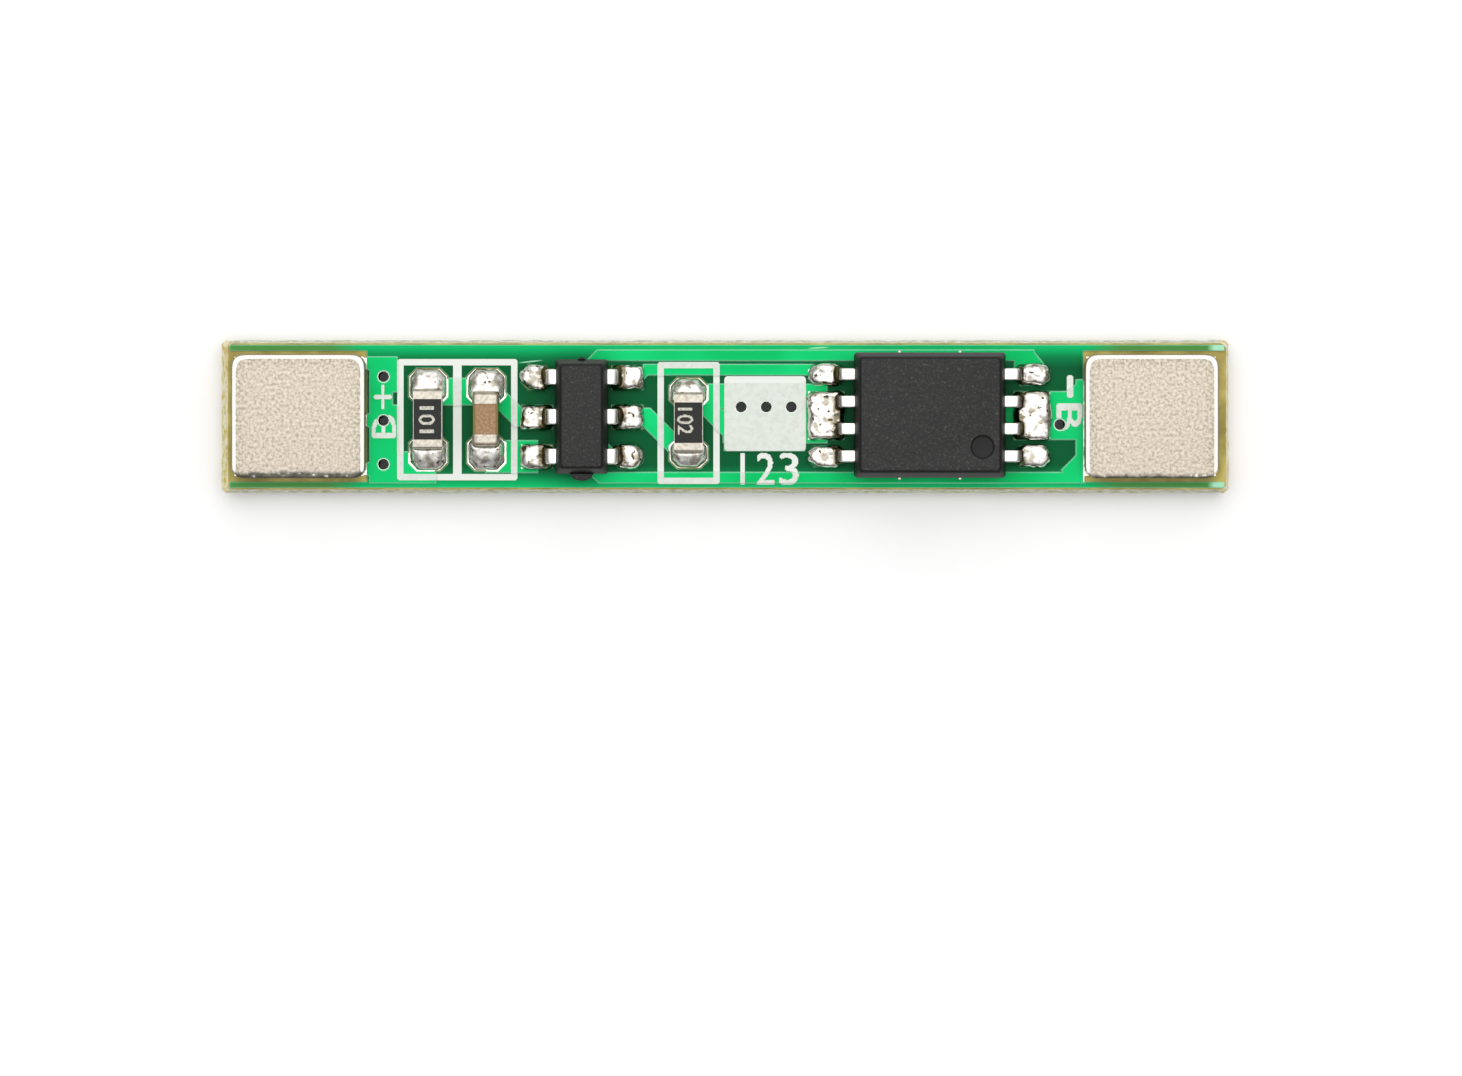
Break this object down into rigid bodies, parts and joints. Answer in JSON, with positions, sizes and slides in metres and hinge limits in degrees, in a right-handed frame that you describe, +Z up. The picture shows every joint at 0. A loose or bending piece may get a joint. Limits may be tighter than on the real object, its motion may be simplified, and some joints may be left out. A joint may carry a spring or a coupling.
{
  "type": "battery management board",
  "caption": "Narrow circuit board that protects one rechargeable cell: nickel tabs to weld to the cell, control and switching chips, and bare lands underneath for the output wires.",
  "frame": {"origin": "middle of the board, on the plane that the tinned lands of its underside rest on", "axes": "+X along the board from the positive tab to the negative tab, +Y across it, +Z up from the component side"},
  "size_m": [0.027, 0.0042, 0.0021],
  "materials": {
    "glass_laminate": "bare glass-epoxy laminate, olive yellow, rough on its snapped edges",
    "tinned_copper": "copper foil, tinned where it is bare",
    "hole_plating": "plated copper, tinned at the rim",
    "green_solder_mask": "glossy green lacquer, brighter over copper",
    "white_ink": "matt white printing ink",
    "nickel": "matt rolled nickel, warm grey",
    "levelled_tin": "wavy hot-levelled tin with dull grey patches",
    "solder": "bright solder with traces of brown flux",
    "tinned_lead": "bright tinned lead",
    "moulding_compound": "fine-grained black moulding compound",
    "plated_terminal": "satin tin plating",
    "resistor_glaze": "black glaze",
    "capacitor_ceramic": "unglazed brown ceramic",
    "alumina": "white alumina"
  },
  "bodies": {
    "root": {"capacitor_ceramic": "capacitor_ceramic", "capacitor_solder": "solder", "capacitor_terminals": "plated_terminal", "controller_housing": "moulding_compound", "controller_lead_1": "tinned_lead", "controller_lead_2": "tinned_lead", "controller_lead_3": "tinned_lead", "controller_lead_4": "tinned_lead", "controller_lead_5": "tinned_lead", "controller_lead_6": "tinned_lead", "controller_solder_left": "solder", "controller_solder_right": "solder", "copper_charge_gate": "tinned_copper", "copper_discharge_gate": "tinned_copper", "copper_free_lands": "tinned_copper", "copper_negative": "tinned_copper", "copper_output": "tinned_copper", "copper_positive": "tinned_copper", "copper_sense": "tinned_copper", "copper_supply": "tinned_copper", "copper_under_negative": "tinned_copper", "copper_under_output": "tinned_copper", "copper_under_positive": "tinned_copper", "laminate": "glass_laminate", "nickel_tab_negative": "nickel", "nickel_tab_positive": "nickel", "plated_holes_negative": "hole_plating", "plated_holes_output": "hole_plating", "plated_holes_positive": "hole_plating", "printed_frame_pair": "white_ink", "printed_frame_sense": "white_ink", "printed_patch": "white_ink", "sense_resistor_ceramic": "alumina", "sense_resistor_glaze": "resistor_glaze", "sense_resistor_solder": "solder", "sense_resistor_terminals": "plated_terminal", "solder_mask_top": "green_solder_mask", "solder_mask_under": "green_solder_mask", "supply_resistor_ceramic": "alumina", "supply_resistor_glaze": "resistor_glaze", "supply_resistor_solder": "solder", "supply_resistor_terminals": "plated_terminal", "tab_solder_negative": "solder", "tab_solder_positive": "solder", "tin_negative": "levelled_tin", "tin_pack_negative": "levelled_tin", "tin_pack_positive": "levelled_tin", "tin_positive": "levelled_tin", "transistor_housing": "moulding_compound", "transistor_lead_1": "tinned_lead", "transistor_lead_2": "tinned_lead", "transistor_lead_3": "tinned_lead", "transistor_lead_4": "tinned_lead", "transistor_lead_5": "tinned_lead", "transistor_lead_6": "tinned_lead", "transistor_lead_7": "tinned_lead", "transistor_lead_8": "tinned_lead", "transistor_solder_left": "solder", "transistor_solder_right": "solder"}
  },
  "joints": []
}
